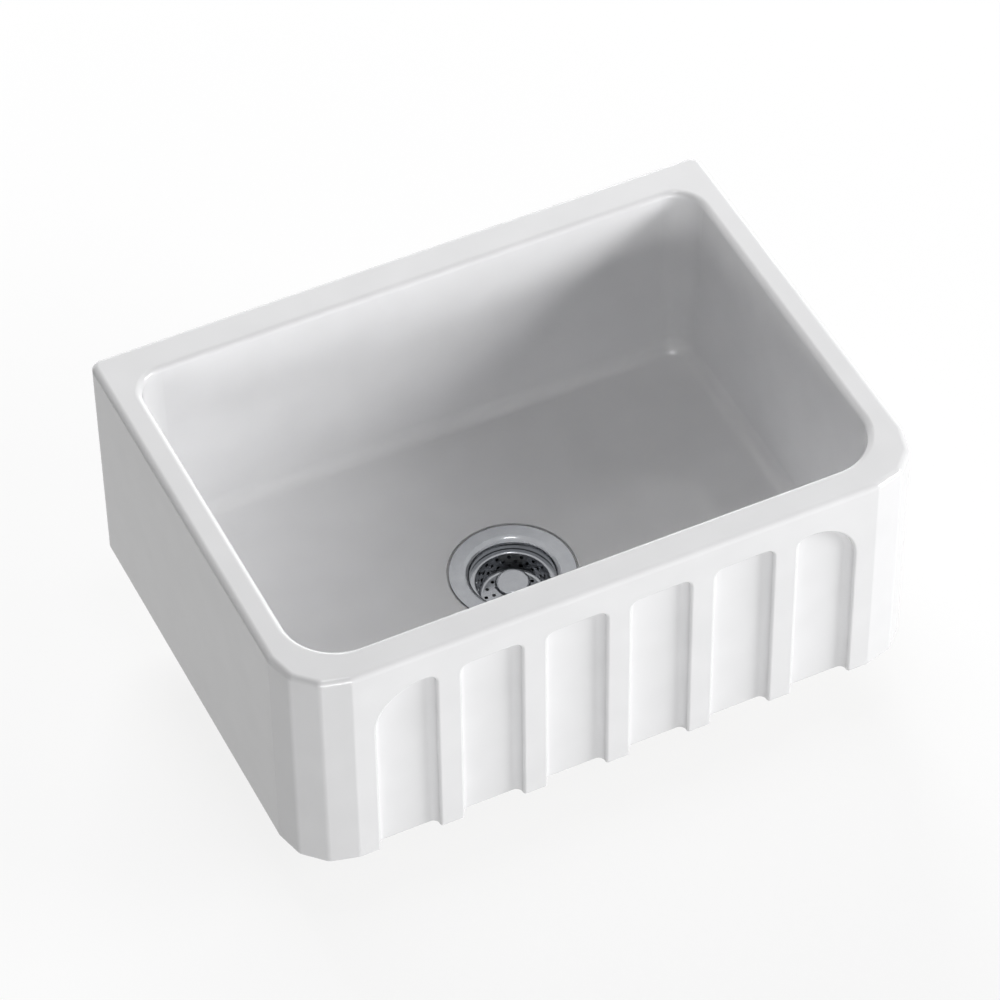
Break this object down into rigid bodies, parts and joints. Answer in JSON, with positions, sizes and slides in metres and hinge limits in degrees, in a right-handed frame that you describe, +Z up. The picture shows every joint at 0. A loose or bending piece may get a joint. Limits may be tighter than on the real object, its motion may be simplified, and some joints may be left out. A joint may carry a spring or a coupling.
{
  "type": "butler sink",
  "caption": "Deep single-bowl butler sink in white glazed fireclay, with flat-cut front corners, an arcaded relief front and a basket strainer waste with a lift-out basket and push-pull stopper",
  "frame": {"origin": "middle of the flat base, on the plane that stands on the cabinet or piers; the waste hangs below it", "axes": "+X along the front from left to right as seen from the front, +Y from the front to the back, +Z up"},
  "size_m": [0.595, 0.435, 0.3062],
  "materials": {
    "white_glaze": "glossy white glaze on fireclay, bare buff clay on the base",
    "polished_steel": "polished stainless steel",
    "brushed_steel": "turned stainless steel",
    "black_rubber": "matt black rubber",
    "moulded_plastic": "moulded white polypropylene",
    "turned_brass": "turned brass"
  },
  "bodies": {
    "basin": {"sink_basin": "white_glaze", "waste_flange": "polished_steel", "flange_gasket": "black_rubber", "lower_gasket": "black_rubber", "waste_body": "moulded_plastic", "outlet_tail": "moulded_plastic", "screw_insert": "turned_brass", "fixing_screw": "brushed_steel", "screw_washer": "black_rubber"},
    "basket": {"basket_cup": "polished_steel", "basket_bush": "moulded_plastic", "bush_cap": "moulded_plastic", "detent_clip": "brushed_steel"},
    "stopper": {"stopper_stem": "brushed_steel", "stopper_knob": "polished_steel", "stopper_plate": "brushed_steel", "stopper_seal": "black_rubber", "stem_nut": "turned_brass"}
  },
  "joints": [
    {"name": "basket_lift", "type": "slide", "parent": "basin", "child": "basket", "axis": [0, 0, 1], "range_m": [0, 0.25]},
    {"name": "stopper_lift", "type": "slide", "parent": "basket", "child": "stopper", "axis": [0, 0, 1], "range_m": [0, 0.008]}
  ]
}
